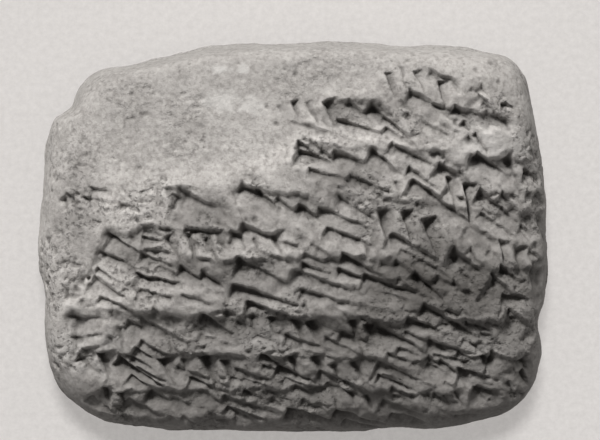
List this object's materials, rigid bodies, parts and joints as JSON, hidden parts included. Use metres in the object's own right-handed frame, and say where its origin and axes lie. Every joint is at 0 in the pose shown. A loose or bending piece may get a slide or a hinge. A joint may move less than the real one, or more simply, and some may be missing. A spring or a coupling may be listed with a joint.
{
  "type": "cuneiform tablet",
  "caption": "Small pillow-shaped clay tablet lying on its back, pressed all over with rows of wedge strokes, one corner of the face rubbed smooth.",
  "frame": {"origin": "centre of the tablet's footprint, on the surface that it lies on", "axes": "+X runs along the rows, in the direction of writing; +Y points to the top edge of the written face; +Z points out of the written face, upwards"},
  "size_m": [0.0562, 0.0432, 0.0205],
  "materials": {
    "clay": "matt, unglazed, finely pitted grey clay"
  },
  "bodies": {
    "root": {"tablet": "clay"}
  },
  "joints": []
}
